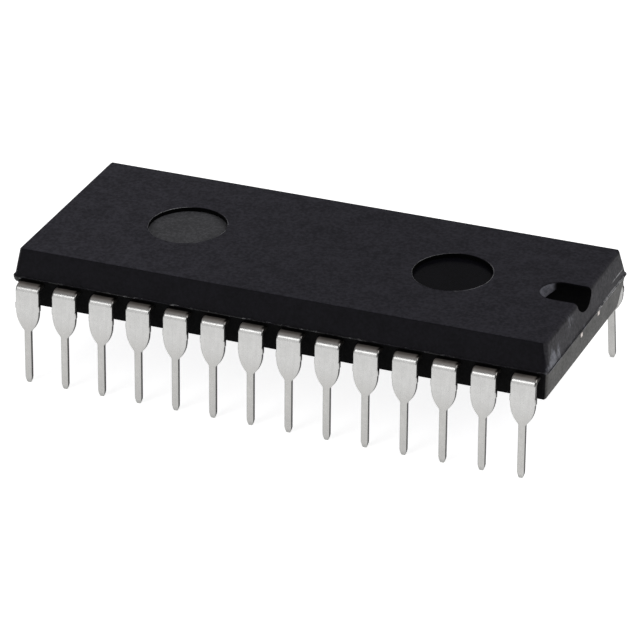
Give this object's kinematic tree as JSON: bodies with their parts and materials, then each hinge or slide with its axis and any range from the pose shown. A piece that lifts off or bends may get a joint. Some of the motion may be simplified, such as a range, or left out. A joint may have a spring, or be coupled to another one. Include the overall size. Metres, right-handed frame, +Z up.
{
  "type": "dual in-line integrated circuit package",
  "caption": "Black moulded through-hole chip package with a notched end, round ejector marks and two wide rows of bent, tapered, tinned leads.",
  "frame": {"origin": "on the plane of the lead tips, midway between the rows and midway along the body", "axes": "+X along the body to its notched end, +Y across the rows, away from the viewer of the picture, +Z up through the top of the body"},
  "size_m": [0.0356, 0.0164, 0.0086],
  "materials": {
    "moulded_epoxy": "fine matt moulded grain, glossy in the round marks, scuffed grey at the edges",
    "tinned_lead": "satin tin plate with rounded stamped edges",
    "copper_leadframe": "rolled copper alloy strip, bare under the moulding",
    "die_attach_epoxy": "silver-filled adhesive, dull",
    "silicon": "polished, dark grey",
    "gold_wire": "drawn gold, bright"
  },
  "bodies": {
    "root": {"moulded_body": "moulded_epoxy", "die_pad": "copper_leadframe", "die_attach": "die_attach_epoxy", "silicon_die": "silicon", "lead_01": "tinned_lead", "lead_02": "tinned_lead", "lead_03": "tinned_lead", "lead_04": "tinned_lead", "lead_05": "tinned_lead", "lead_06": "tinned_lead", "lead_07": "tinned_lead", "lead_08": "tinned_lead", "lead_09": "tinned_lead", "lead_10": "tinned_lead", "lead_11": "tinned_lead", "lead_12": "tinned_lead", "lead_13": "tinned_lead", "lead_14": "tinned_lead", "lead_15": "tinned_lead", "lead_16": "tinned_lead", "lead_17": "tinned_lead", "lead_18": "tinned_lead", "lead_19": "tinned_lead", "lead_20": "tinned_lead", "lead_21": "tinned_lead", "lead_22": "tinned_lead", "lead_23": "tinned_lead", "lead_24": "tinned_lead", "lead_25": "tinned_lead", "lead_26": "tinned_lead", "lead_27": "tinned_lead", "lead_28": "tinned_lead", "bond_wire_01": "gold_wire", "bond_wire_02": "gold_wire", "bond_wire_03": "gold_wire", "bond_wire_04": "gold_wire", "bond_wire_05": "gold_wire", "bond_wire_06": "gold_wire", "bond_wire_07": "gold_wire", "bond_wire_08": "gold_wire", "bond_wire_09": "gold_wire", "bond_wire_10": "gold_wire", "bond_wire_11": "gold_wire", "bond_wire_12": "gold_wire", "bond_wire_13": "gold_wire", "bond_wire_14": "gold_wire", "bond_wire_15": "gold_wire", "bond_wire_16": "gold_wire", "bond_wire_17": "gold_wire", "bond_wire_18": "gold_wire", "bond_wire_19": "gold_wire", "bond_wire_20": "gold_wire", "bond_wire_21": "gold_wire", "bond_wire_22": "gold_wire", "bond_wire_23": "gold_wire", "bond_wire_24": "gold_wire", "bond_wire_25": "gold_wire", "bond_wire_26": "gold_wire", "bond_wire_27": "gold_wire", "bond_wire_28": "gold_wire"}
  },
  "joints": []
}
